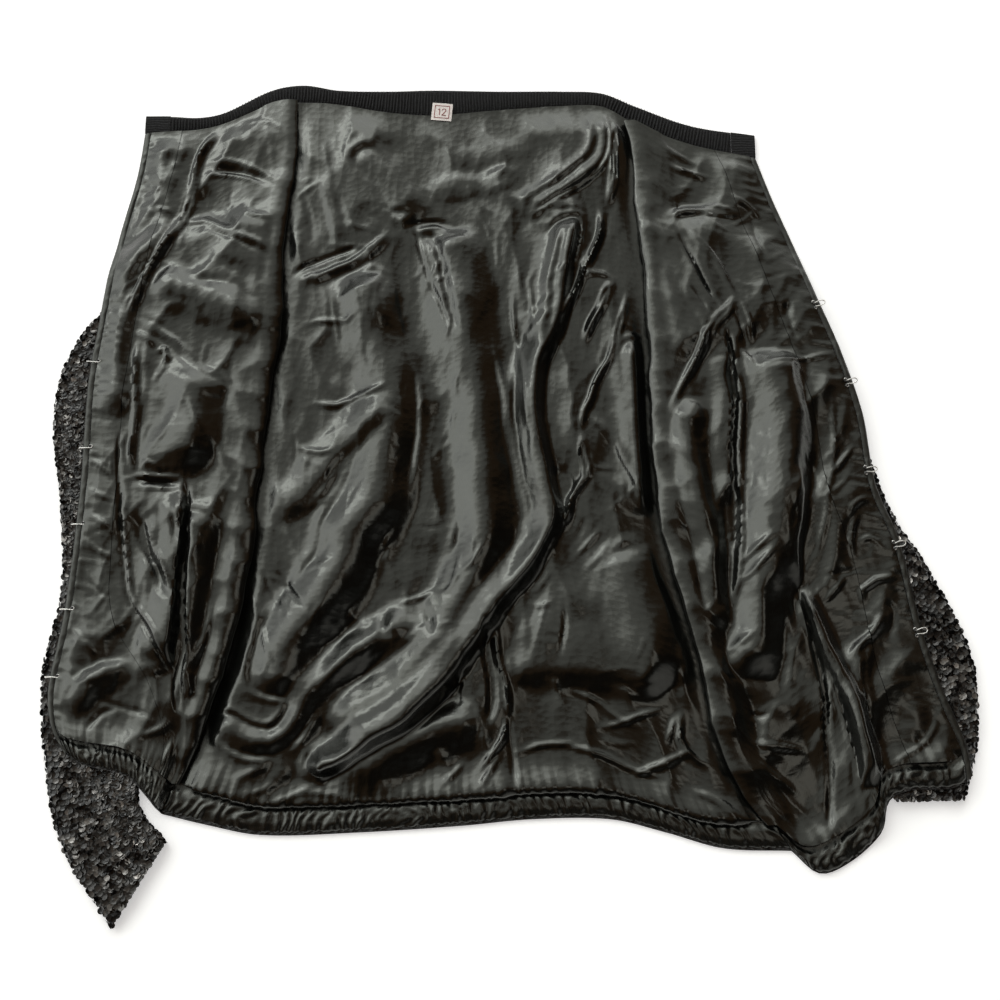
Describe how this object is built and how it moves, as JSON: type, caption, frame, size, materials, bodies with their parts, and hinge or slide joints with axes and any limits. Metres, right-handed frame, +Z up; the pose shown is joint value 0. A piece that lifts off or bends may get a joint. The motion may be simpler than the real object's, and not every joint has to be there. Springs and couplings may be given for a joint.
{
  "type": "sequin cardigan",
  "caption": "Sequined evening cardigan lying open on its back, satin lining up, with a ribbed neckband, gathered hem, and hooks and eyes along its front edges.",
  "frame": {"origin": "on the surface that the cloth rests on, below the middle of the outline", "axes": "+Z up out of the lining, +Y towards the collar, +X to the side with the eyes, from the side with the hooks"},
  "size_m": [0.7495, 0.721, 0.0287],
  "materials": {
    "sequin_cloth": "cloth covered with glossy black cup sequins",
    "satin": "black satin, soft sheen",
    "binding": "matt black woven binding",
    "rib_knit": "matt black ribbed knit",
    "hook_metal": "bright plated wire",
    "woven_tag": "woven tag"
  },
  "bodies": {
    "root": {"back_shell": "sequin_cloth", "back_lining": "satin", "back_hem_band": "satin", "sleeve_left": "sequin_cloth", "front_shell_left": "sequin_cloth", "front_lining_left": "satin", "front_facing_left": "satin", "front_binding_left": "binding", "front_hem_band_left": "satin", "sleeve_right": "sequin_cloth", "front_shell_right": "sequin_cloth", "front_lining_right": "satin", "front_facing_right": "satin", "front_binding_right": "binding", "front_hem_band_right": "satin", "neck_rib": "rib_knit", "neck_tab_left": "rib_knit", "neck_tab_right": "rib_knit", "hook_left_1": "hook_metal", "hook_left_2": "hook_metal", "hook_left_3": "hook_metal", "hook_left_4": "hook_metal", "hook_left_5": "hook_metal", "eye_right_1": "hook_metal", "eye_right_2": "hook_metal", "eye_right_3": "hook_metal", "eye_right_4": "hook_metal", "eye_right_5": "hook_metal", "size_label": "woven_tag"}
  },
  "joints": []
}
